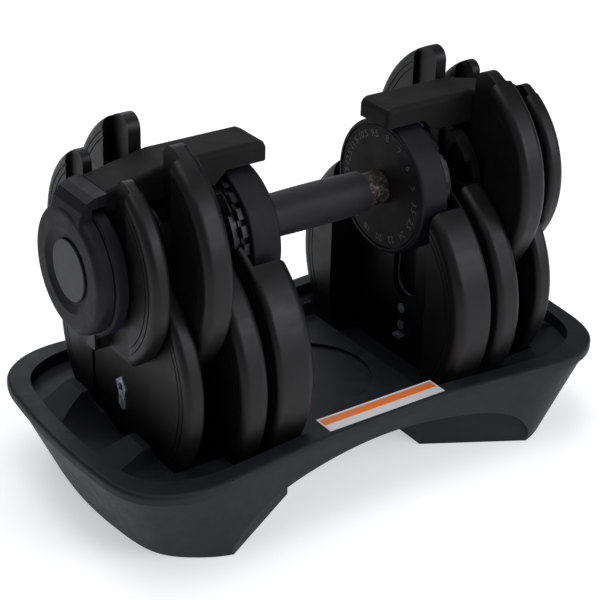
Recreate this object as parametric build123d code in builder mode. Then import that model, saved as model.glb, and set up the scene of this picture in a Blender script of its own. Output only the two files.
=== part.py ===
"""Adjustable dumbbell resting on its storage tray.

X runs along the handle, Z is up, and the origin is on the floor under the middle of the tray.
Pieces that come in pairs are drawn for the right-hand end and mirrored for the left-hand one.
"""
from build123d import *
import os

os.makedirs("parts", exist_ok=True)

# driving dimensions, millimetres
AXIS_HEIGHT = 208.0        # handle axis above the floor
SHAFT_R = 9.0
RUNNING_GAP = 0.05         # radial clearance of the selector sleeve on the shaft
SLEEVE_R = 12.0
GRIP_HALF = 47.0
GRIP_R = 17.5
COLLAR_R = 14.0
COLLAR_END = 66.0

DIAL_START = 66.4
DIAL_END = 92.0
DIAL_R = 56.0
NUMBER_PLATE_R = 51.0
DETENT_R = 52.0
DETENT_START = 92.4
DETENT_END = 97.2
NOTCHES = 24

KNOB_START = 193.4
KNOB_END = 204.6
KNOB_R = 52.5
CAP_START = 205.2
CAP_FACE = 217.0
CAP_R = 49.5
CAP_RECESS_R = 33.0
BADGE_SEAT = 213.6
BADGE_R = 24.0
SHAFT_END = 209.0

BAR_HALF_WIDTH = 19.5
BAR_START = 56.5
BAR_END = 192.6
BAR_TOP = 74.0             # above the handle axis
BAR_OUTER_TOP = 63.5
BAR_BOTTOM = 48.5
DIAL_BRIDGE = 58.0         # underside of the bar where it passes over the dial
ARM_HALF_WIDTH = 20.5

DISC_R = 47.0              # selector discs of the three inner plates
SMALL_DISC_R = 42.5        # selector discs of the two outer plates
FLANGE = 3.5               # radial thickness of a disc's lifting flange
DISC_ROOM = 1.5            # room round a disc
HUB_ROOM = 14.5            # slot half width round the sleeve

PLATE_FOOT = -167.4        # underside of every plate, from the axis
WELL_FLOOR = 40.2
DECK_TOP = 75.0
INNER_DECK = 64.0
LIP_DEPTH = 8.0
CENTRE_FLOOR = 53.0
DISH_R = 54.0
HALF_LENGTH = 236.0
FOOT_CORNER = (146.0, 115.0)
FOOT_INNER = (67.0, 71.0)


def face_at(x):
    """Plane across the handle at x, centred on the axis: local x is +Y, local y is +Z."""
    return Plane(origin=(x, 0, AXIS_HEIGHT), x_dir=(0, 1, 0), z_dir=(1, 0, 0))


def side_plane(y):
    """Plane along the handle at y, on the axis: local x is +X, local y is +Z, facing -Y."""
    return Plane(origin=(0, y, AXIS_HEIGHT), x_dir=(1, 0, 0), z_dir=(0, -1, 0))


def write(shape, name):
    shape.label = name
    export_step(shape, f"parts/{name}.step")


def write_pair(shape, name):
    write(shape, f"{name}_right")
    write(mirror(shape, about=Plane.YZ), f"{name}_left")


def turned(profile):
    """A solid turned about the handle axis from (x, radius) points."""
    with BuildPart() as solid:
        with BuildSketch(side_plane(0)):
            with BuildLine():
                Polyline(*profile, close=True)
            make_face()
        revolve(axis=Axis((0, 0, AXIS_HEIGHT), (1, 0, 0)))
    return solid.part


def slab(x_low, x_high, half_width, z_low, z_high, y=0):
    """A block across the handle; heights are from the handle axis."""
    with BuildPart() as block:
        with BuildSketch(face_at(x_low)):
            with Locations((y, (z_low + z_high) / 2)):
                Rectangle(2 * half_width, z_high - z_low)
        extrude(amount=x_high - x_low)
    return block.part


# ---------------------------------------------------------------- handle

with BuildPart() as shaft:
    with BuildSketch(face_at(-SHAFT_END)):
        Circle(SHAFT_R)
    extrude(amount=2 * SHAFT_END)
    for end, way in ((-SHAFT_END, 1), (SHAFT_END, -1)):
        with BuildSketch(face_at(end)):
            Circle(4)
        extrude(amount=20 * way, mode=Mode.SUBTRACT)
write(shaft.part, "handle_shaft")

with BuildPart() as grip:
    with BuildSketch(side_plane(0)):
        with BuildLine():
            Polyline(
                (GRIP_HALF, GRIP_R - 1.5),
                (GRIP_HALF, SHAFT_R),
                (-GRIP_HALF, SHAFT_R),
                (-GRIP_HALF, GRIP_R - 1.5),
                (1.2 - GRIP_HALF, GRIP_R - 0.5),
            )
            ThreePointArc((1.2 - GRIP_HALF, GRIP_R - 0.5), (0, GRIP_R + 0.3), (GRIP_HALF - 1.2, GRIP_R - 0.5))
            Line((GRIP_HALF - 1.2, GRIP_R - 0.5), (GRIP_HALF, GRIP_R - 1.5))
        make_face()
    revolve(axis=Axis((0, 0, AXIS_HEIGHT), (1, 0, 0)))
write(grip.part, "grip_sleeve")

with BuildPart() as collar:
    with BuildSketch(face_at(GRIP_HALF)):
        Circle(COLLAR_R)
        Circle(SHAFT_R, mode=Mode.SUBTRACT)
    extrude(amount=COLLAR_END - GRIP_HALF)
write_pair(collar.part, "collar")

with BuildPart() as bridge:
    with BuildSketch(side_plane(BAR_HALF_WIDTH)):
        with BuildLine():
            Polyline(
                (BAR_START, DIAL_BRIDGE),
                (BAR_START, BAR_TOP - 6),
                (BAR_START + 2, BAR_TOP - 2),
                (BAR_START + 6, BAR_TOP),
                (BAR_START + 84, BAR_TOP),
                (BAR_END, BAR_OUTER_TOP),
                (BAR_END, BAR_BOTTOM),
                (DIAL_END + 1 + DIAL_BRIDGE - BAR_BOTTOM, BAR_BOTTOM),
                (DIAL_END + 1, DIAL_BRIDGE),
                close=True,
            )
        make_face()
    extrude(amount=2 * BAR_HALF_WIDTH)
    crown = bridge.edges().filter_by(lambda e: e.center().Z > AXIS_HEIGHT + BAR_OUTER_TOP - 1)
    fillet(crown.filter_by(lambda e: abs(e.center().Y) > BAR_HALF_WIDTH - 1), 4.5)
write_pair(bridge.part, "bridge")

with BuildPart() as cap:
    with BuildSketch(face_at(CAP_START)):
        Circle(CAP_R)
    extrude(amount=CAP_FACE - CAP_START)
    fillet(cap.edges().filter_by(GeomType.CIRCLE).sort_by(Axis.X)[-1], 6)
    with BuildSketch(side_plane(ARM_HALF_WIDTH)):
        with BuildLine():
            Polyline(
                (BAR_END + 0.3, KNOB_R + 1),
                (BAR_END + 0.3, BAR_OUTER_TOP - 0.4),
                (CAP_START - 2, BAR_OUTER_TOP - 2),
                (CAP_START + 4, BAR_OUTER_TOP - 5),
                (CAP_FACE - 3, BAR_OUTER_TOP - 11),
                (CAP_FACE - 0.6, CAP_R - 6),
                (CAP_FACE - 0.6, CAP_RECESS_R),
                (CAP_START, CAP_RECESS_R),
                (CAP_START, KNOB_R + 1),
                close=True,
            )
        make_face()
    extrude(amount=2 * ARM_HALF_WIDTH)
    recess = turned(
        (
            (CAP_FACE + 1, 0),
            (CAP_FACE + 1, CAP_RECESS_R + 2),
            (CAP_FACE, CAP_RECESS_R),
            (CAP_FACE - 1.6, CAP_RECESS_R - 3),
            (BADGE_SEAT + 0.5, BADGE_R + 3),
            (BADGE_SEAT, BADGE_R + 0.8),
            (BADGE_SEAT, 0),
        )
    )
    add(recess, mode=Mode.SUBTRACT)
    with BuildSketch(face_at(CAP_START)):
        Circle(SHAFT_R)
    extrude(amount=SHAFT_END - CAP_START, mode=Mode.SUBTRACT)
    with BuildSketch(face_at(SHAFT_END)):
        Circle(8)
    extrude(amount=CAP_FACE - SHAFT_END, mode=Mode.SUBTRACT)
write_pair(cap.part, "end_cap")

with BuildPart() as badge:
    with BuildSketch(face_at(BADGE_SEAT)):
        Circle(BADGE_R)
    extrude(amount=2)
    fillet(badge.edges().filter_by(GeomType.CIRCLE).sort_by(Axis.X)[-1], 1)
write_pair(badge.part, "blank_badge")

with BuildPart() as bolt:
    with BuildSketch(face_at(SHAFT_END)):
        RegularPolygon(7, 6)
    extrude(amount=4.4)
    with BuildSketch(face_at(SHAFT_END - 18)):
        Circle(4)
    extrude(amount=18)
write_pair(bolt.part, "end_bolt")


# ---------------------------------------------------------------- selectors

with BuildPart() as sleeve:
    with BuildSketch(face_at(DIAL_START)):
        Circle(SLEEVE_R)
        Circle(SHAFT_R + RUNNING_GAP, mode=Mode.SUBTRACT)
    extrude(amount=KNOB_END - DIAL_START)
write_pair(sleeve.part, "selector_sleeve")

with BuildPart() as dial:
    add(
        turned(
            (
                (DIAL_START + 1.8, SLEEVE_R),
                (DIAL_START + 1.8, DIAL_R - 3.6),
                (DIAL_START, DIAL_R - 3.6),
                (DIAL_START, DIAL_R),
                (DIAL_END, DIAL_R),
                (DIAL_END, DIAL_R - 5),
                (DIAL_START + 6, DIAL_R - 5),
                (DIAL_START + 6, SLEEVE_R + 4),
                (DIAL_END, SLEEVE_R + 4),
                (DIAL_END, SLEEVE_R),
            )
        )
    )
    rim = dial.edges().filter_by(GeomType.CIRCLE).filter_by(lambda e: abs(e.radius - DIAL_R) < 0.01)
    fillet(rim.sort_by(Axis.X)[0], 3)
    fillet(rim.sort_by(Axis.X)[-1], 1.5)
write_pair(dial.part, "dial")

with BuildPart() as number_plate:
    with BuildSketch(face_at(DIAL_START + 0.6)):
        Circle(NUMBER_PLATE_R)
        Circle(SLEEVE_R, mode=Mode.SUBTRACT)
    extrude(amount=1.2)
write_pair(number_plate.part, "number_plate")

with BuildPart() as detent_ring:
    with BuildSketch(face_at(DETENT_START)):
        Circle(DETENT_R)
        Circle(SLEEVE_R, mode=Mode.SUBTRACT)
        with PolarLocations(DETENT_R, NOTCHES):
            Rectangle(7, 5, mode=Mode.SUBTRACT)
    extrude(amount=DETENT_END - DETENT_START)
write_pair(detent_ring.part, "detent_ring")


def selector_disc(web_start, web_end, flange_start, flange_end, radius, gaps, rib_start=None, rib_end=None):
    """A web on the sleeve with a lifting flange round it, cut away over the angles in gaps."""
    with BuildPart() as disc:
        with BuildSketch(face_at(web_start)):
            Circle(radius)
            Circle(SLEEVE_R, mode=Mode.SUBTRACT)
        extrude(amount=web_end - web_start)
        with BuildSketch(face_at(flange_start)):
            Circle(radius)
            Circle(radius - FLANGE, mode=Mode.SUBTRACT)
        extrude(amount=flange_end - flange_start)
        beyond = flange_start if flange_start < web_start else web_end
        for angle in gaps:
            with BuildSketch(face_at(beyond)):
                with PolarLocations(radius - FLANGE / 2, 1, start_angle=angle):
                    Rectangle(3 * FLANGE, 19)
            extrude(amount=flange_end - web_end if beyond == web_end else web_start - beyond, mode=Mode.SUBTRACT)
        if rib_start is not None:
            with BuildSketch(face_at(rib_start)):
                with PolarLocations((radius - FLANGE + SLEEVE_R + 0.8) / 2, 12):
                    Rectangle(radius - FLANGE - SLEEVE_R, 2.4)
            extrude(amount=rib_end - rib_start)
    return disc.part


write_pair(selector_disc(97.6, 99.4, 97.6, 102.6, DISC_R, (20, 75, 130, 185)), "selector_disc_a")
write_pair(
    selector_disc(126.4, 128.4, 121.0, 132.6, DISC_R, (40, 100, 160, 215), 124.0, 126.4),
    "selector_disc_b",
)
write_pair(selector_disc(155.6, 157.6, 150.4, 157.6, DISC_R, (10, 120, 200)), "selector_disc_c")
write_pair(selector_disc(172.0, 174.6, 166.4, 174.6, SMALL_DISC_R, (60, 150, 230)), "selector_disc_d")
write_pair(selector_disc(191.2, 193.4, 188.4, 193.4, SMALL_DISC_R - 1, (90, 180)), "selector_disc_e")

with BuildPart() as knob:
    add(
        turned(
            (
                (KNOB_START, SLEEVE_R),
                (KNOB_START, KNOB_R - 2),
                (KNOB_START + 2, KNOB_R),
                (KNOB_END - 1.5, KNOB_R),
                (KNOB_END, KNOB_R - 1.5),
                (KNOB_END, KNOB_R - 6),
                (KNOB_START + 3, KNOB_R - 6),
                (KNOB_START + 3, SLEEVE_R + 4),
                (KNOB_END, SLEEVE_R + 4),
                (KNOB_END, SLEEVE_R),
            )
        )
    )
write_pair(knob.part, "knob_ring")


# ---------------------------------------------------------------- weight plates


def plate_blank(x_low, x_high, radius, centre_z, inner_round, outer_round, foot):
    """A disc across the handle with bull-nosed rim, fine face grooves and a flat foot."""
    with BuildPart() as blank:
        with BuildSketch(face_at(x_low)):
            with Locations((0, centre_z)):
                Circle(radius)
        extrude(amount=x_high - x_low)
        rims = blank.edges().filter_by(GeomType.CIRCLE).sort_by(Axis.X)
        fillet(rims[0], inner_round)
        fillet(rims[-1], outer_round)
        for start, way, rounding in ((x_low, 1, inner_round), (x_high, -1, outer_round)):
            with BuildSketch(face_at(start)):
                with Locations((0, centre_z)):
                    for line in (2.0, 6.5):
                        Circle(radius - rounding - line)
                        Circle(radius - rounding - line - 1.1, mode=Mode.SUBTRACT)
            extrude(amount=0.8 * way, mode=Mode.SUBTRACT)
        add(slab(x_low - 1, x_high + 1, radius + 1, foot - 60, foot), mode=Mode.SUBTRACT)
    return blank.part


def cutter(x_low, x_high, half_width, bottom_z):
    """Room round the axis, open to the top, with a round bottom if it reaches the axis radius."""
    with BuildPart() as room:
        with BuildSketch(face_at(x_low)):
            with Locations((0, bottom_z + half_width)):
                Circle(half_width)
            with Locations((0, bottom_z + half_width + 100)):
                Rectangle(2 * half_width, 200)
        extrude(amount=x_high - x_low)
    return room.part


def eared_outline(x_low, x_high, radius, centre_z, tip_radius):
    """Solid with a tall plate's outline: a disc with the bar slot, whose two ear tips are rounded."""
    with BuildPart() as solid:
        with BuildSketch(face_at(x_low)) as side_view:
            with Locations((0, centre_z)):
                Circle(radius)
            with Locations((0, BAR_SLOT_FLOOR + 100)):
                Rectangle(2 * BAR_SLOT, 200, mode=Mode.SUBTRACT)
            fillet(side_view.vertices().sort_by(Axis.Y)[-2:], tip_radius)
            with Locations((0, (centre_z - radius + PLATE_FOOT) / 2)):
                Rectangle(2 * LEG_HALF, radius - centre_z - PLATE_FOOT + 40)
        extrude(amount=x_high - x_low)
    return solid.part


P5 = {"x": (68.0, 103.0), "r": 108.0, "z": -88.0, "web": 98.0}
P4 = {"x": (110.0, 133.4), "r": 108.0, "z": -89.0, "web": 118.0}
P3 = {"x": (134.4, 158.0), "r": 98.5, "z": 4.0, "band": (139.0, 149.6)}
P2 = {"x": (159.0, 175.3), "r": 98.0, "z": -85.0, "web": 165.4}
P1 = {"x": (176.2, 191.8), "r": 82.0, "z": 2.0, "band": (180.0, 187.6)}
BIG_BAND = DISC_R + DISC_ROOM
SMALL_BAND = SMALL_DISC_R + DISC_ROOM
P5_CHANNEL = 64.0
P5_SLOT_BOTTOM = -109.0
WEB_TOP = -16.5
BAR_SLOT = 25.0
BAR_SLOT_FLOOR = 38.0
LEG_HALF = 43.0
P1_FOOT = -68.0

with BuildPart() as plate_a:
    low, high = P5["x"]
    add(plate_blank(low, high, P5["r"], P5["z"], 9, 5, PLATE_FOOT))
    add(slab(low - 1, P5["web"], P5_CHANNEL, PLATE_FOOT - 1, 60), mode=Mode.SUBTRACT)
    add(cutter(P5["web"] - 1, high + 1, BIG_BAND, -BIG_BAND), mode=Mode.SUBTRACT)
    add(cutter(P5["web"] - 1, high + 1, HUB_ROOM, P5_SLOT_BOTTOM), mode=Mode.SUBTRACT)
    for rivet_z in (-120, -136):
        with BuildSketch(face_at(P5["web"])):
            with Locations((0, rivet_z)):
                Circle(2.5)
        extrude(amount=high - P5["web"], mode=Mode.SUBTRACT)
    add(slab(P5["web"] - 1, high + 1, 6, -148, -144), mode=Mode.SUBTRACT)
write_pair(plate_a.part, "weight_plate_a")

with BuildPart() as catch_plate:
    with BuildSketch(face_at(P5["x"][1])):
        with Locations((0, -92)):
            Rectangle(48, 116)
        with Locations((0, P5_SLOT_BOTTOM + HUB_ROOM + 1)):
            Circle(HUB_ROOM + 1, mode=Mode.SUBTRACT)
        with Locations((0, P5_SLOT_BOTTOM + HUB_ROOM + 101)):
            Rectangle(2 * HUB_ROOM + 2, 200, mode=Mode.SUBTRACT)
        with Locations((0, -120), (0, -136)):
            Circle(2.5, mode=Mode.SUBTRACT)
    extrude(amount=3)
    for finger_y in (-18.5, 18.5):
        add(slab(100.2, P5["x"][1], 2.5, -36.5, -34, finger_y))
    add(slab(93, P5["x"][1] + 3, 5, -147.4, -144.6))
write_pair(catch_plate.part, "catch_plate")

with BuildPart() as rivets:
    with BuildSketch(face_at(P5["web"])):
        with Locations((0, -120), (0, -136)):
            Circle(2.5)
    extrude(amount=P5["x"][1] + 3 - P5["web"])
    for start, length in ((P5["web"] - 1.4, 1.4), (P5["x"][1] + 3, 1.2)):
        with BuildSketch(face_at(start)):
            with Locations((0, -120), (0, -136)):
                Circle(4)
        extrude(amount=length)
write_pair(rivets.part, "catch_rivets")

with BuildPart() as plate_b:
    low, high = P4["x"]
    add(plate_blank(low, high, P4["r"], P4["z"], 6.5, 6.5, PLATE_FOOT))
    add(cutter(P4["web"], high + 1, BIG_BAND, -BIG_BAND), mode=Mode.SUBTRACT)
    add(slab(low - 1, high + 1, BIG_BAND, WEB_TOP, 60), mode=Mode.SUBTRACT)
    add(slab(P4["web"], 123.4, 9, -42, -34.5))
write_pair(plate_b.part, "weight_plate_b")

with BuildPart() as plate_c:
    low, high = P3["x"]
    inner, outer = P3["band"]
    add(plate_blank(low, high, P3["r"], P3["z"], 6.5, 6.5, -300))
    add(slab(inner, outer, LEG_HALF, PLATE_FOOT, -80))
    add(slab(low - 1, inner, BIG_BAND, -200, 200), mode=Mode.SUBTRACT)
    add(slab(outer, high + 1, BIG_BAND, -200, 200), mode=Mode.SUBTRACT)
    add(cutter(inner - 1, outer + 1, HUB_ROOM, -HUB_ROOM), mode=Mode.SUBTRACT)
    add(eared_outline(low - 1, high + 1, P3["r"] + 0.01, P3["z"], 11), mode=Mode.INTERSECT)
    add(slab(outer, 155, 9, -42, -34.5))
write_pair(plate_c.part, "weight_plate_c")

with BuildPart() as plate_d:
    low, high = P2["x"]
    add(plate_blank(low, high, P2["r"], P2["z"], 5, 5, PLATE_FOOT))
    add(slab(P2["web"], high + 1, SMALL_BAND + 0.5, -200, 60), mode=Mode.SUBTRACT)
    add(slab(low - 1, high + 1, SMALL_BAND + 0.5, WEB_TOP, 60), mode=Mode.SUBTRACT)
    add(slab(P2["web"], 171.2, 8, -37.8, -30))
write_pair(plate_d.part, "weight_plate_d")

with BuildPart() as plate_e:
    low, high = P1["x"]
    inner, outer = P1["band"]
    add(plate_blank(low, high, P1["r"], P1["z"], 5.5, 5.5, P1_FOOT))
    add(slab(low - 1, inner, SMALL_BAND, -200, 200), mode=Mode.SUBTRACT)
    add(slab(outer, high + 1, SMALL_BAND, -200, 200), mode=Mode.SUBTRACT)
    add(slab(167.2, 174.0, LEG_HALF - 0.5, PLATE_FOOT, -46))
    add(slab(174.0, inner, LEG_HALF - 0.5, P1_FOOT, -46))
    add(cutter(inner - 1, outer + 1, HUB_ROOM, -HUB_ROOM), mode=Mode.SUBTRACT)
    add(eared_outline(167, high + 1, P1["r"] + 0.01, P1["z"], 9), mode=Mode.INTERSECT)
    add(slab(outer, 190.6, 7, -36.4, -30))
    add(slab(outer, 199.6, 6.5, P1_FOOT, -54.6))
    add(slab(193.6, 197.8, 8, P1_FOOT + 2.4, -57.4), mode=Mode.SUBTRACT)
write_pair(plate_e.part, "weight_plate_e")

with BuildPart() as hook:
    with BuildSketch(face_at(174.0)):
        with BuildLine():
            Polyline((-2, -100), (7, -107), (3, -116), (3, -126), (-3, -130), (-6, -127), (-5, -117), (-8, -110), close=True)
        make_face()
        with Locations((0, -109.5)):
            Circle(3.2, mode=Mode.SUBTRACT)
    extrude(amount=1.6)
write_pair(hook.part, "keeper_hook")


# ---------------------------------------------------------------- tray


def outline(points):
    """A smooth closed plan outline, mirrored from the quarter that runs from (0, y) to (x, 0)."""
    with BuildSketch() as plan:
        with BuildLine() as line:
            Spline(*points, tangents=((1, 0), (0, -1)))
            mirror(line.edges(), about=Plane.YZ)
            mirror(line.edges(), about=Plane.XZ)
        make_face()
    return plan.sketch


def inset(points, distance):
    """The quarter outline drawn in by about that distance along both axes."""
    wide, deep = points[-1][0], points[0][1]
    return [(x * (wide - distance) / wide, y * (deep - distance) / deep) for x, y in points]


def under_plates(x_low, x_high, radius, centre_z, floor):
    """Cutter for a well that follows the round plates down to a flat floor."""
    with BuildPart() as well:
        with BuildSketch(face_at(x_low)):
            with Locations((0, centre_z)):
                Circle(radius)
            with Locations((0, floor - AXIS_HEIGHT - 100)):
                Rectangle(4 * radius, 200, mode=Mode.SUBTRACT)
        extrude(amount=x_high - x_low)
    return well.part


RIM = ((0, 113), (84, 117.5), (148, 125), (193, 122.5), (222.5, 101), (233.3, 58.5), (HALF_LENGTH, 0))
FLOOR_LINE = ((0, 104), (80, 109), (146, 115), (172, 103), (192, 84.5), (203, 45), (206, 0))
SKIRT_TOP = DECK_TOP - LIP_DEPTH
SKIRT_INSIDE = 93.0
RIDGE_HALF = 60.0
RIDGE_TOP = 79.0
SCOOP_R = 41.0
SCOOP_FLOOR = 57.0

ARCH = ((-150, -2), (-128, 31), (-78, 47), (0, 54.5), (78, 47), (128, 31), (150, -2))
FOOT_HOLLOW = (
    (76, -64), (147, -104), (170, -94), (186, -79), (196, -45),
    (196, 45), (186, 79), (170, 94), (147, 104), (76, 64),
)

with BuildPart() as waist:
    with BuildSketch(Plane.XY.offset(-1)):
        with BuildLine():
            Polyline(
                (FOOT_CORNER[0] + 36, FOOT_CORNER[1] + 20),
                FOOT_CORNER,
                FOOT_INNER,
                (FOOT_INNER[0], 0),
                (0, 0),
                (0, FOOT_CORNER[1] + 20),
                close=True,
            )
        make_face()
    extrude(amount=DECK_TOP)
    mirror(about=Plane.XZ)
    mirror(about=Plane.YZ)

with BuildPart() as arch:
    with BuildSketch(Plane.XZ.offset(-150)):
        with BuildLine():
            Spline(*ARCH)
            Line(ARCH[-1], ARCH[0])
        make_face()
    extrude(amount=150 - SKIRT_INSIDE)
    mirror(about=Plane.XZ)
    with BuildSketch(Plane.XY.offset(-1)):
        Rectangle(2 * FOOT_INNER[0] - 6, 2 * SKIRT_INSIDE + 2)
    extrude(amount=CENTRE_FLOOR - 6)
    with BuildSketch(Plane.XY.offset(-1)):
        Rectangle(2 * FOOT_CORNER[0], 2 * SKIRT_INSIDE + 2)
    extrude(amount=WELL_FLOOR - 3.5)

room_between_feet = arch.part & waist.part

with BuildPart() as tray:
    with BuildSketch(Plane.XY):
        add(outline(FLOOR_LINE))
    with BuildSketch(Plane.XY.offset(SKIRT_TOP)):
        add(outline(inset(RIM, 1.8)))
    loft()
    with BuildSketch(Plane.XY.offset(SKIRT_TOP)):
        add(outline(RIM))
    extrude(amount=LIP_DEPTH)
    fillet(tray.edges().group_by(Axis.Z)[-1], 3.5)

    # inner deck, one step below the rim, and the floor between the dumbbell's ends
    with BuildSketch(Plane.XY.offset(INNER_DECK)):
        add(outline(inset(RIM, 15)))
    extrude(amount=DECK_TOP, mode=Mode.SUBTRACT)
    with BuildSketch(Plane.XY.offset(CENTRE_FLOOR)):
        Rectangle(136, 168)
    extrude(amount=DECK_TOP, taper=-14, mode=Mode.SUBTRACT)
    with BuildSketch(Plane.XY.offset(CENTRE_FLOOR - 3)):
        Circle(DISH_R)
    extrude(amount=10, mode=Mode.SUBTRACT)

    # an end ridge with two horns and a scoop between them, outboard of the plates
    for way in (1, -1):
        with BuildSketch(side_plane(RIDGE_HALF)):
            with BuildLine():
                Polyline(
                    (way * 178, 45 - AXIS_HEIGHT),
                    (way * 184, RIDGE_TOP - AXIS_HEIGHT),
                    (way * 190, RIDGE_TOP - AXIS_HEIGHT),
                    (way * 217, INNER_DECK - AXIS_HEIGHT),
                    (way * 217, 45 - AXIS_HEIGHT),
                    close=True,
                )
            make_face()
        extrude(amount=2 * RIDGE_HALF)
        with BuildSketch(face_at(way * 195)):
            with Locations((0, SCOOP_FLOOR + SCOOP_R - AXIS_HEIGHT)):
                Circle(SCOOP_R)
        extrude(amount=24, both=True, mode=Mode.SUBTRACT)

    # wells for the plates
    for way in (1, -1):
        for x_low, x_high, radius, centre_z in ((66.5, 134, 110, -89), (133.9, 176.6, 100, -85)):
            left, right = sorted((way * x_low, way * x_high))
            add(under_plates(left, right, radius, centre_z, WELL_FLOOR), mode=Mode.SUBTRACT)

    # rooms under the tray, cut upwards from the floor
    add(room_between_feet, mode=Mode.SUBTRACT)
    for way in (1, -1):
        with BuildSketch(Plane.XY.offset(-1)):
            with BuildLine():
                Polyline(*[(way * x, y) for x, y in FOOT_HOLLOW], close=True)
            make_face()
        extrude(amount=WELL_FLOOR - 3.5, mode=Mode.SUBTRACT)
write(tray.part, "tray")

with BuildPart() as label:
    with BuildSketch(Plane.XY.offset(DECK_TOP)):
        with Locations((0, -100.2)):
            Rectangle(112, 19)
    extrude(amount=0.4)
write(label.part, "tray_label")
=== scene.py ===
import math

import bmesh
import bpy
from mathutils import Matrix, Vector


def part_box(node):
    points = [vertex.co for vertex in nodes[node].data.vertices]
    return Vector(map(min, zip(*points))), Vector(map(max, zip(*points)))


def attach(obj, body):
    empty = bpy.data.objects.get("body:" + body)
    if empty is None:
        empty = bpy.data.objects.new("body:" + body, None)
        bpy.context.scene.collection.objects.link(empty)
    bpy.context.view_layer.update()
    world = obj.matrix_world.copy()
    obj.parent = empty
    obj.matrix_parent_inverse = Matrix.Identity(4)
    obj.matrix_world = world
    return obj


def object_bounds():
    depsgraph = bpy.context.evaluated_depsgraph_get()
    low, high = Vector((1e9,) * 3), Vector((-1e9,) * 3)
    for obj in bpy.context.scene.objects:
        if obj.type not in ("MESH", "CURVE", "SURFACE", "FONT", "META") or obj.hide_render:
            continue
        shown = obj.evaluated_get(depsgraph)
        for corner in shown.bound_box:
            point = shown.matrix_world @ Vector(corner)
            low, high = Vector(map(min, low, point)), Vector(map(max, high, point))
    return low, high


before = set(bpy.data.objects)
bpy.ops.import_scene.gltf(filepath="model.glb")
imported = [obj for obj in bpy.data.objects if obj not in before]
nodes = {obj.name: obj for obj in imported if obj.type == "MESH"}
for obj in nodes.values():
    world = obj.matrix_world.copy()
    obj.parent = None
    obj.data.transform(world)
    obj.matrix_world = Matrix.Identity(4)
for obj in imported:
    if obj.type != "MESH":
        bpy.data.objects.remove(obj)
cad_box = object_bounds()


# ---------------------------------------------------------------- shader helpers

# places of the colour sockets on a Mix node
MIX_SHARE, MIX_FIRST, MIX_SECOND, MIX_RESULT = 0, 6, 7, 2

WEAR_AND_HIGHLIGHT_RADIUS = 0.0011       # width of the lighter band along an edge, metres: part rubbed wear, part painted highlight
WAVE_DEPTH = 0.0006        # slow unevenness of a moulded skin, metres
SMEAR_LIFT = 1.8           # how much lighter a handling smear is than the light tone

def start_material(name):
    material = bpy.data.materials.new(name)
    material.use_nodes = True
    material.node_tree.nodes.clear()
    return material, material.node_tree


def add(tree, kind, sockets=None, **settings):
    """One shader node with its settings. Each socket is set to a number or linked to an output."""
    made = tree.nodes.new(kind)
    for key, value in settings.items():
        setattr(made, key, value)
    for key, value in (sockets or {}).items():
        if isinstance(value, bpy.types.NodeSocket):
            tree.links.new(value, made.inputs[key])
        else:
            made.inputs[key].default_value = value
    return made


def noise(tree, place, scale, detail=3.0, rough=0.55, stretch=(1, 1, 1)):
    """Noise of that many cells to the metre, from 0 to 1."""
    if stretch != (1, 1, 1):
        stretched = add(tree, "ShaderNodeMapping", {"Vector": place, "Scale": stretch})
        place = stretched.outputs["Vector"]
    made = add(tree, "ShaderNodeTexNoise",
               {"Vector": place, "Scale": scale, "Detail": detail, "Roughness": rough})
    return made.outputs["Fac"]


def spread(tree, value, low, high, out_low=0.0, out_high=1.0, smooth=False):
    made = add(tree, "ShaderNodeMapRange",
               {"Value": value, "From Min": low, "From Max": high,
                "To Min": out_low, "To Max": out_high},
               interpolation_type="SMOOTHSTEP" if smooth else "LINEAR")
    return made.outputs["Result"]


def maths(tree, operation, first, second=0.5):
    made = add(tree, "ShaderNodeMath", operation=operation)
    for socket, value in zip(made.inputs, (first, second)):
        if isinstance(value, bpy.types.NodeSocket):
            tree.links.new(value, socket)
        else:
            socket.default_value = value
    return made.outputs["Value"]


def blend_colours(tree, share, first, second):
    made = tree.nodes.new("ShaderNodeMix")
    made.data_type = "RGBA"
    for index, value in ((MIX_SHARE, share), (MIX_FIRST, first), (MIX_SECOND, second)):
        if isinstance(value, bpy.types.NodeSocket):
            tree.links.new(value, made.inputs[index])
        else:
            made.inputs[index].default_value = value
    return made.outputs[MIX_RESULT]


def edge_mask(tree, radius):
    """1 along a sharp edge and 0 on open faces, from how far a rounded normal turns away."""
    rounded = add(tree, "ShaderNodeBevel", {"Radius": radius}, samples=3).outputs["Normal"]
    flat = add(tree, "ShaderNodeNewGeometry").outputs["Normal"]
    dot = add(tree, "ShaderNodeVectorMath", operation="DOT_PRODUCT")
    tree.links.new(rounded, dot.inputs[0])
    tree.links.new(flat, dot.inputs[1])
    return spread(tree, dot.outputs["Value"], 0.995, 0.80, 0.0, 1.0)


def rgba(colour):
    return (*colour, 1.0)


def finish_material(tree, sockets):
    shader = add(tree, "ShaderNodeBsdfPrincipled", sockets)
    end = tree.nodes.new("ShaderNodeOutputMaterial")
    tree.links.new(shader.outputs["BSDF"], end.inputs["Surface"])


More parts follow.
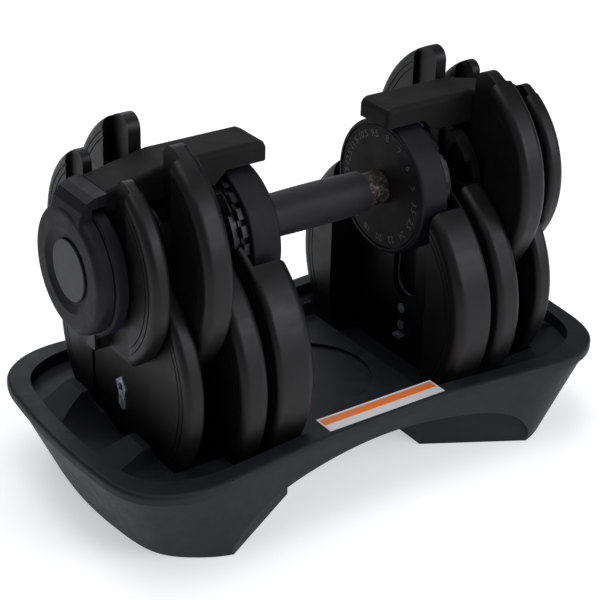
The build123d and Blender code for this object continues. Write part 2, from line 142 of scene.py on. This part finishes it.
def moulded(name, dark, light, rough, grain, depth, specular, wear_and_highlight=None, wear_and_highlight_share=0.0,
            smear=(1, 1, 1), dust=None):
    """Black moulded plastic or coating: cloudy tone, pebble grain and handling smears.

    Lighter edges (part rubbed wear, part painted highlight) and dust on upward faces are added
    where they are asked for.
    """
    material, tree = start_material(name)
    place = add(tree, "ShaderNodeTexCoord").outputs["Object"]
    cloud = noise(tree, place, 22, 5, 0.62)
    smears = noise(tree, place, 85, 4, 0.65, smear)
    pebbles = noise(tree, place, grain, 2, 0.5)
    colour = blend_colours(tree, spread(tree, cloud, 0.32, 0.70, smooth=True), rgba(dark),
                           rgba(light))
    tone = maths(tree, "ADD", maths(tree, "MULTIPLY", smears, 0.6),
                 maths(tree, "MULTIPLY", pebbles, 0.4))
    lifted = tuple(c * SMEAR_LIFT for c in light)
    colour = blend_colours(tree, spread(tree, tone, 0.50, 0.80, 0.0, 0.55, True), colour,
                           rgba(lifted))
    if dust:
        up = add(tree, "ShaderNodeSeparateXYZ",
                 {"Vector": add(tree, "ShaderNodeTexCoord").outputs["Normal"]}).outputs["Z"]
        lying = maths(tree, "MULTIPLY", spread(tree, up, 0.55, 1.0, smooth=True),
                      spread(tree, noise(tree, place, 45, 6, 0.7), 0.42, 0.78, 0.0, 0.8, True))
        colour = blend_colours(tree, lying, colour, rgba(dust))
    # lighter edges: part rubbed wear, part a painted highlight where rounded edges would catch the
    # light
    if wear_and_highlight:
        rubbed_and_highlit = maths(tree, "MULTIPLY", edge_mask(tree, WEAR_AND_HIGHLIGHT_RADIUS),
                       spread(tree, noise(tree, place, 160, 5, 0.7), 0.30, 0.62, 0.25, 1.0, True))
        rubbed_and_highlit = maths(tree, "MULTIPLY", rubbed_and_highlit, wear_and_highlight_share)
        colour = blend_colours(tree, rubbed_and_highlit, colour, rgba(wear_and_highlight))
    dull = spread(tree, smears, 0.25, 0.75, rough - 0.07, rough + 0.09)
    bumps = add(tree, "ShaderNodeBump", {"Strength": 0.55, "Distance": depth, "Height": pebbles})
    waves = add(tree, "ShaderNodeBump", {"Strength": 0.25, "Distance": WAVE_DEPTH, "Height": cloud,
                                         "Normal": bumps.outputs["Normal"]})
    finish_material(tree, {"Base Color": colour, "Roughness": dull, "Specular IOR Level": specular,
                           "Normal": waves.outputs["Normal"]})
    return material


def worn_steel(name, dark, bright, rough, scale, stain):
    """Turned steel: brown-grey oxide, rubbed bright patches and fine turning lines round X."""
    material, tree = start_material(name)
    place = add(tree, "ShaderNodeTexCoord").outputs["Object"]
    patches = noise(tree, place, scale, 6, 0.68)
    lines = noise(tree, place, 900, 2, 0.5, (4.0, 0.3, 0.3))
    scratches = noise(tree, place, 500, 4, 0.6, (0.25, 2.0, 2.0))
    shine = spread(tree, patches, stain - 0.08, stain + 0.16, smooth=True)
    colour = blend_colours(tree, shine, rgba(dark), rgba(bright))
    roughness = maths(tree, "ADD", spread(tree, shine, 0, 1, rough + 0.14, rough - 0.10),
                      spread(tree, scratches, 0.3, 0.7, -0.05, 0.07))
    height = maths(tree, "ADD", maths(tree, "MULTIPLY", lines, 0.6),
                   maths(tree, "MULTIPLY", scratches, 0.4))
    bumps = add(tree, "ShaderNodeBump", {"Strength": 0.5, "Distance": 0.00006, "Height": height})
    finish_material(tree, {"Base Color": colour, "Roughness": roughness, "Metallic": 1.0,
                           "Normal": bumps.outputs["Normal"]})
    return material


def zinc_plate(name):
    """Blue-white zinc plating: crystal spangle, soft clouding and a few dull specks."""
    material, tree = start_material(name)
    place = add(tree, "ShaderNodeTexCoord").outputs["Object"]
    spangle = add(tree, "ShaderNodeTexVoronoi", {"Vector": place, "Scale": 420, "Randomness": 1.0})
    tone = add(tree, "ShaderNodeSeparateColor", {"Color": spangle.outputs["Color"]}).outputs["Red"]
    clouds = noise(tree, place, 180, 5, 0.6)
    colour = blend_colours(tree, tone, rgba((0.46, 0.52, 0.60)), rgba((0.78, 0.84, 0.92)))
    colour = blend_colours(tree, spread(tree, clouds, 0.55, 0.75, 0.0, 0.7, True), colour,
                           rgba((0.26, 0.28, 0.31)))
    roughness = spread(tree, maths(tree, "ADD", tone, clouds), 0.4, 1.6, 0.38, 0.60)
    bumps = add(tree, "ShaderNodeBump", {"Strength": 0.35, "Distance": 0.00008, "Height": clouds})
    finish_material(tree, {"Base Color": colour, "Roughness": roughness, "Metallic": 1.0,
                           "Normal": bumps.outputs["Normal"]})
    return material


def foam_rubber(name):
    """Grip rubber: fine pores, a faint violet tone and smoother patches where it is held."""
    material, tree = start_material(name)
    place = add(tree, "ShaderNodeTexCoord").outputs["Object"]
    pores = add(tree, "ShaderNodeTexVoronoi", {"Vector": place, "Scale": 1500}).outputs["Distance"]
    handled = noise(tree, place, 40, 5, 0.6, (0.5, 1, 1))
    skin = noise(tree, place, 700, 4, 0.6)
    colour = blend_colours(tree, spread(tree, skin, 0.35, 0.7), rgba((0.0062, 0.0059, 0.0084)),
                           rgba((0.0108, 0.0102, 0.0138)))
    colour = blend_colours(tree, spread(tree, handled, 0.45, 0.7, 0, 0.5, True), colour,
                           rgba((0.0058, 0.0055, 0.0074)))
    height = maths(tree, "ADD", maths(tree, "MULTIPLY", pores, 0.7),
                   maths(tree, "MULTIPLY", skin, 0.5))
    bumps = add(tree, "ShaderNodeBump", {"Strength": 0.6, "Distance": 0.00016, "Height": height})
    dull = spread(tree, handled, 0.35, 0.7, 0.62, 0.48)
    finish_material(tree, {"Base Color": colour, "Roughness": dull,
                           "Specular IOR Level": 0.3, "Sheen Weight": 0.05, "Sheen Roughness": 0.5,
                           "Normal": bumps.outputs["Normal"]})
    return material


# edges of the label's orange band, as shares of the label's width and length
BAND_NEAR, BAND_FAR = 0.46, 0.90
BAND_HALF_LENGTH = 0.488


def printed_label(name, low, high):
    """Stuck-on label: white film, an orange band toward its far side, and scuffed ink."""
    material, tree = start_material(name)
    place = add(tree, "ShaderNodeTexCoord").outputs["Object"]
    axes = add(tree, "ShaderNodeSeparateXYZ", {"Vector": place}).outputs
    across = spread(tree, axes["Y"], low.y, high.y)
    along = spread(tree, axes["X"], low.x, high.x)
    band = maths(tree, "MULTIPLY", maths(tree, "GREATER_THAN", across, BAND_NEAR),
                 maths(tree, "LESS_THAN", across, BAND_FAR))
    from_middle = maths(tree, "ABSOLUTE", maths(tree, "SUBTRACT", along, 0.5))
    inside = maths(tree, "LESS_THAN", from_middle, BAND_HALF_LENGTH)
    band = maths(tree, "MULTIPLY", band, inside)
    scuffs = noise(tree, place, 320, 6, 0.72)
    fibres = noise(tree, place, 1600, 2, 0.5)
    ink = maths(tree, "MULTIPLY", band, spread(tree, scuffs, 0.64, 0.72, 1.0, 0.5, True))
    paper = blend_colours(tree, fibres, rgba((0.56, 0.56, 0.57)), rgba((0.68, 0.68, 0.68)))
    paper = blend_colours(tree, spread(tree, scuffs, 0.52, 0.75, 0, 0.4, True), paper,
                          rgba((0.40, 0.40, 0.41)))
    orange = blend_colours(tree, scuffs, rgba((0.80, 0.17, 0.020)), rgba((0.64, 0.16, 0.035)))
    colour = blend_colours(tree, ink, paper, orange)
    bumps = add(tree, "ShaderNodeBump", {"Strength": 0.3, "Distance": 0.00005, "Height": fibres})
    dull = spread(tree, scuffs, 0.3, 0.7, 0.34, 0.52)
    finish_material(tree, {"Base Color": colour, "Roughness": dull,
                           "Specular IOR Level": 0.5, "Normal": bumps.outputs["Normal"]})
    return material


def brushed_badge(name):
    """Blank badge plate: dark satin film, fine straight brushing and a light orange-peel skin."""
    material, tree = start_material(name)
    place = add(tree, "ShaderNodeTexCoord").outputs["Object"]
    brush = noise(tree, place, 420, 3, 0.6, (1.0, 0.12, 4.0))
    peel = noise(tree, place, 900, 2, 0.5)
    colour = blend_colours(tree, brush, rgba((0.0085, 0.0085, 0.0092)),
                           rgba((0.0165, 0.0165, 0.0178)))
    bumps = add(tree, "ShaderNodeBump", {"Strength": 0.4, "Distance": 0.00005, "Height": peel})
    dull = spread(tree, brush, 0.3, 0.7, 0.30, 0.44)
    finish_material(tree, {"Base Color": colour, "Roughness": dull,
                           "Specular IOR Level": 0.16, "Coat Weight": 0.02, "Coat Roughness": 0.3,
                           "Normal": bumps.outputs["Normal"]})
    return material


def number_ink(name):
    """Pad-printed grey ink, thin in places."""
    material, tree = start_material(name)
    place = add(tree, "ShaderNodeTexCoord").outputs["Object"]
    worn = noise(tree, place, 700, 5, 0.7)
    colour = blend_colours(tree, spread(tree, worn, 0.40, 0.66, smooth=True),
                           rgba((0.085, 0.085, 0.088)), rgba((0.040, 0.040, 0.042)))
    dull = spread(tree, worn, 0.3, 0.7, 0.45, 0.65)
    finish_material(tree, {"Base Color": colour, "Roughness": dull,
                           "Specular IOR Level": 0.4})
    return material


# ---------------------------------------------------------------- finishes of the record's slots

label_low, label_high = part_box("tray_label")
looks = {
    # the edge colours below lighten every sharp edge: part rubbed wear, part painted highlight
    "tray_plastic": moulded(
        "tray_plastic_look", (0.0072, 0.0076, 0.0104), (0.0104, 0.0110, 0.0148), 0.58,
        grain=1100, depth=0.00022, specular=0.26, wear_and_highlight=(0.028, 0.030, 0.037), wear_and_highlight_share=0.45,
        dust=(0.016, 0.017, 0.021)),
    "plate_coating": moulded(
        "plate_coating_look", (0.0024, 0.0022, 0.0025), (0.0044, 0.0041, 0.0046), 0.44,
        grain=1700, depth=0.00010, specular=0.27, wear_and_highlight=(0.022, 0.021, 0.024), wear_and_highlight_share=0.40,
        smear=(0.35, 1, 1), dust=(0.009, 0.0085, 0.0095)),
    "knob_plastic": moulded(
        "knob_plastic_look", (0.0075, 0.0074, 0.0108), (0.0115, 0.0112, 0.0160), 0.56,
        grain=1900, depth=0.00008, specular=0.15, wear_and_highlight=(0.032, 0.032, 0.040), wear_and_highlight_share=0.35,
        dust=(0.016, 0.0157, 0.020)),
    "bridge_plastic": moulded(
        "bridge_plastic_look", (0.0072, 0.0069, 0.0069), (0.0105, 0.0100, 0.0100), 0.66,
        grain=1500, depth=0.00012, specular=0.12, wear_and_highlight=(0.030, 0.028, 0.028), wear_and_highlight_share=0.30,
        dust=(0.015, 0.0142, 0.014)),
    "inner_plastic": moulded(
        "inner_plastic_look", (0.0028, 0.0027, 0.0034), (0.0048, 0.0046, 0.0056), 0.40,
        grain=1800, depth=0.00008, specular=0.32, wear_and_highlight=(0.022, 0.021, 0.025), wear_and_highlight_share=0.35),
    "number_plate": moulded(
        "number_plate_look", (0.0072, 0.0070, 0.0073), (0.0102, 0.0099, 0.0102), 0.62,
        grain=2100, depth=0.00006, specular=0.14),
    "grip_rubber": foam_rubber("grip_rubber_look"),
    "badge": brushed_badge("badge_look"),
    "steel": worn_steel("steel_look", (0.075, 0.060, 0.056), (0.42, 0.41, 0.40), rough=0.42,
                        scale=240, stain=0.53),
    "zinc_steel": zinc_plate("zinc_steel_look"),
    "label": printed_label("label_look", label_low, label_high),
}
for name, shown in nodes.items():
    for index, packed in enumerate(list(shown.data.materials)):
        shown.data.materials[index] = looks[packed.name.split(".")[0]]


# ---------------------------------------------------------------- dial numbers

NUMBERS = ("8", "7", "6", "5", "3.5", "2.5", "24", "22", "20", "18", "16", "14.5", "13.5", "12.5",
           "11.5", "10.5", "9.5")
NUMBER_HEIGHT = 0.0082
NUMBER_RING = 0.86         # radius of the ring of numbers, as a share of the plate's radius
FIRST_NUMBER = math.radians(8)
INK_THICKNESS = 0.00012
INK_LIFT = 0.6             # middle of the ink above the plate, in thicknesses of ink


def flat_text(words, height):
    """A thin mesh of the words, centred, facing +Z."""
    letters = bpy.data.curves.new("letters", "FONT")
    letters.body = words
    letters.size = height
    letters.align_x = "CENTER"
    letters.align_y = "CENTER"
    letters.extrude = INK_THICKNESS / 2
    letters.resolution_u = 3
    holder = bpy.data.objects.new("letters", letters)
    mesh = bpy.data.meshes.new_from_object(holder)
    bpy.data.objects.remove(holder)
    return mesh


def dial_numbers(side, ink):
    sign = 1 if side == "right" else -1
    low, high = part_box(f"number_plate_{side}")
    centre = (low + high) / 2
    face = low.x if sign > 0 else high.x
    radius = (high.z - low.z) / 2
    outward_face = Vector((-sign, 0, 0))
    up = Vector((0, 0, 1))
    right = up.cross(outward_face)
    all_of_them = bmesh.new()
    for index, words in enumerate(NUMBERS):
        turn = FIRST_NUMBER + index * math.tau / len(NUMBERS)
        radial = right * math.sin(turn) + up * math.cos(turn)
        tangent = right * math.cos(turn) - up * math.sin(turn)
        at = Vector((face, centre.y, centre.z)) + radial * radius * NUMBER_RING
        at += outward_face * INK_THICKNESS * INK_LIFT
        mesh = flat_text(words, NUMBER_HEIGHT)
        turned = Matrix((tangent, radial, outward_face)).transposed().to_4x4()
        mesh.transform(Matrix.Translation(at) @ turned)
        all_of_them.from_mesh(mesh)
        bpy.data.meshes.remove(mesh)
    mesh = bpy.data.meshes.new(f"dial_numbers_{side}")
    all_of_them.to_mesh(mesh)
    all_of_them.free()
    piece = bpy.data.objects.new(f"dial_numbers_{side}", mesh)
    bpy.context.scene.collection.objects.link(piece)
    mesh.materials.append(ink)
    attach(piece, f"selector_{side}")


ink = number_ink("number_ink_look")
for end in ("left", "right"):
    dial_numbers(end, ink)


# ---------------------------------------------------------------- floor, light and camera

FLOOR_RADIUS = 7.0
FLOOR_GAP = 0.0004         # below the tray's feet
FLOOR_GLOW = 0.50          # keeps the floor pale under soft lamps
SKY_STRENGTH = 0.13
LIT_POINT = (0, 0, 0.15)   # what every lamp faces

CAMERA_AT = (-0.7020, -0.9634, 0.7533)
CAMERA_TURN = (35.722, 27.871, 1.661)    # azimuth, look-down angle and lean, degrees
LENS_MM, SENSOR_MM = 99.81, 36
NEAREST_SEEN = 0.02


def pale_floor():
    material, tree = start_material("floor_look")
    place = add(tree, "ShaderNodeTexCoord").outputs["Object"]
    tone = noise(tree, place, 6, 3, 0.5)
    colour = blend_colours(tree, tone, rgba((0.80, 0.80, 0.81)), rgba((0.84, 0.84, 0.85)))
    finish_material(tree, {"Base Color": colour, "Roughness": 0.85, "Specular IOR Level": 0.2,
                           "Emission Color": rgba((0.97, 0.98, 1.0)),
                           "Emission Strength": FLOOR_GLOW})
    disc = bmesh.new()
    bmesh.ops.create_circle(disc, cap_ends=True, segments=96, radius=FLOOR_RADIUS)
    mesh = bpy.data.meshes.new("floor")
    disc.to_mesh(mesh)
    disc.free()
    floor = bpy.data.objects.new("floor", mesh)
    floor.location = (0, 0, cad_box[0].z - FLOOR_GAP)
    bpy.context.scene.collection.objects.link(floor)
    mesh.materials.append(material)


def softbox(name, at, size, power, colour):
    lamp = bpy.data.lights.new(name, "AREA")
    lamp.shape = "RECTANGLE"
    lamp.size, lamp.size_y = size
    lamp.energy = power
    lamp.color = colour
    holder = bpy.data.objects.new(name, lamp)
    holder.location = at
    holder.rotation_euler = (Vector(LIT_POINT) - Vector(at)).to_track_quat("-Z", "Y").to_euler()
    bpy.context.scene.collection.objects.link(holder)


def studio():
    world = bpy.data.worlds.new("studio")
    world.use_nodes = True
    sky = world.node_tree.nodes["Background"]
    sky.inputs["Color"].default_value = (0.93, 0.95, 1.0, 1.0)
    sky.inputs["Strength"].default_value = SKY_STRENGTH
    bpy.context.scene.world = world
    softbox("key_right", (1.1, -2.0, 1.3), (1.6, 1.4), 34, (0.95, 0.96, 1.0))
    softbox("top_soft", (-0.2, 0.2, 2.3), (2.2, 1.6), 26, (0.98, 0.98, 1.0))
    softbox("left_fill", (-2.2, -0.4, 1.0), (1.2, 1.2), 1.2, (1.0, 0.99, 0.98))
    softbox("back_rim", (0.4, 2.2, 1.5), (1.8, 1.0), 16, (0.96, 0.97, 1.0))


def camera():
    """Stands off the near left corner, looks down at the object, and leans slightly to one side."""
    azimuth, elevation, roll = (math.radians(a) for a in CAMERA_TURN)
    ahead = Vector((math.cos(elevation) * math.sin(azimuth),
                    math.cos(elevation) * math.cos(azimuth), -math.sin(elevation)))
    right = ahead.cross(Vector((0, 0, 1))).normalized()
    up = right.cross(ahead)
    across = right * math.cos(roll) + up * math.sin(roll)
    upward = up * math.cos(roll) - right * math.sin(roll)
    turned = Matrix((across, upward, -ahead)).transposed().to_4x4()
    lens = bpy.data.cameras.new("camera")
    lens.sensor_width = SENSOR_MM
    lens.lens = LENS_MM
    lens.clip_start = NEAREST_SEEN
    holder = bpy.data.objects.new("camera", lens)
    holder.matrix_world = Matrix.Translation(CAMERA_AT) @ turned
    bpy.context.scene.collection.objects.link(holder)
    bpy.context.scene.camera = holder


pale_floor()
studio()
camera()
bpy.context.scene.view_settings.view_transform = "Standard"
